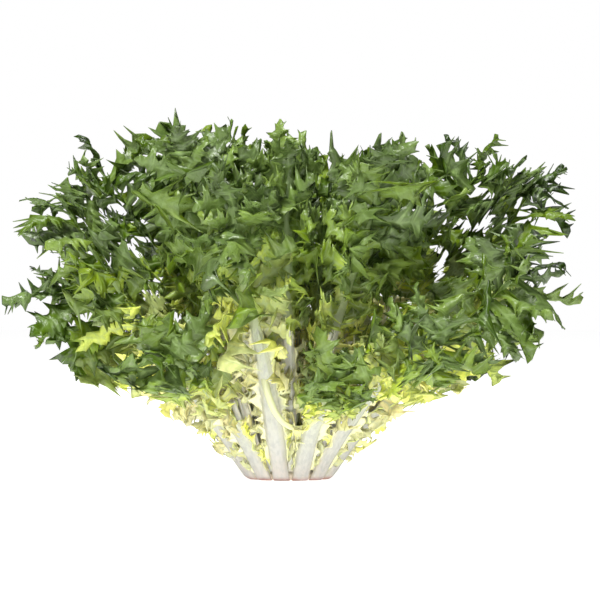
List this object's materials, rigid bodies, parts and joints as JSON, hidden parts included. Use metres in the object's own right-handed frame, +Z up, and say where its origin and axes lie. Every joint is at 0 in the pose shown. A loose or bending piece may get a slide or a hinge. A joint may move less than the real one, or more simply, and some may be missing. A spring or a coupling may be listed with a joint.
{
  "type": "curly endive head",
  "caption": "Head of curly endive that stands on its cut base: white stalks fan out of a cut stem into finely cut, curled green leaves round a paler heart.",
  "frame": {"origin": "centre of the flat cut face that the head stands on", "axes": "+Z up through the heart, -Y towards the picture's camera, +X to the right in the picture"},
  "size_m": [0.3431, 0.3075, 0.2144],
  "materials": {
    "cut_stem": "moist cut stem, cream with a browned edge",
    "stalk_white": "smooth, waxy white stalk that turns yellow at its ragged margins",
    "leaf_green": "satin leaf, mid to dark green, thin enough to let light through",
    "leaf_light_green": "satin leaf, mid green with pale veins, thin enough to let light through",
    "heart_yellow": "satin leaf, yellow green, thin enough to let light through"
  },
  "bodies": {
    "root": {"stem": "cut_stem", "stalk_outer_01": "stalk_white", "leaf_outer_01": "leaf_green", "stalk_outer_02": "stalk_white", "leaf_outer_02": "leaf_green", "stalk_outer_03": "stalk_white", "leaf_outer_03": "leaf_green", "stalk_outer_04": "stalk_white", "leaf_outer_04": "leaf_green", "stalk_outer_05": "stalk_white", "leaf_outer_05": "leaf_green", "stalk_outer_06": "stalk_white", "leaf_outer_06": "leaf_green", "stalk_outer_07": "stalk_white", "leaf_outer_07": "leaf_green", "stalk_outer_08": "stalk_white", "leaf_outer_08": "leaf_green", "stalk_outer_09": "stalk_white", "leaf_outer_09": "leaf_green", "stalk_outer_10": "stalk_white", "leaf_outer_10": "leaf_green", "stalk_outer_11": "stalk_white", "leaf_outer_11": "leaf_green", "stalk_outer_12": "stalk_white", "leaf_outer_12": "leaf_green", "stalk_outer_13": "stalk_white", "leaf_outer_13": "leaf_green", "stalk_middle_01": "stalk_white", "leaf_middle_01": "leaf_light_green", "stalk_middle_02": "stalk_white", "leaf_middle_02": "leaf_light_green", "stalk_middle_03": "stalk_white", "leaf_middle_03": "leaf_light_green", "stalk_middle_04": "stalk_white", "leaf_middle_04": "leaf_light_green", "stalk_middle_05": "stalk_white", "leaf_middle_05": "leaf_light_green", "stalk_middle_06": "stalk_white", "leaf_middle_06": "leaf_light_green", "stalk_middle_07": "stalk_white", "leaf_middle_07": "leaf_light_green", "stalk_middle_08": "stalk_white", "leaf_middle_08": "leaf_light_green", "stalk_middle_09": "stalk_white", "leaf_middle_09": "leaf_light_green", "stalk_middle_10": "stalk_white", "leaf_middle_10": "leaf_light_green", "stalk_middle_11": "stalk_white", "leaf_middle_11": "leaf_light_green", "stalk_middle_12": "stalk_white", "leaf_middle_12": "leaf_light_green", "leaf_inner_01": "heart_yellow", "leaf_inner_02": "heart_yellow", "leaf_inner_03": "heart_yellow", "leaf_inner_04": "heart_yellow", "leaf_inner_05": "heart_yellow", "leaf_inner_06": "heart_yellow", "leaf_heart_01": "heart_yellow", "leaf_heart_02": "heart_yellow", "leaf_heart_03": "heart_yellow"}
  },
  "joints": []
}
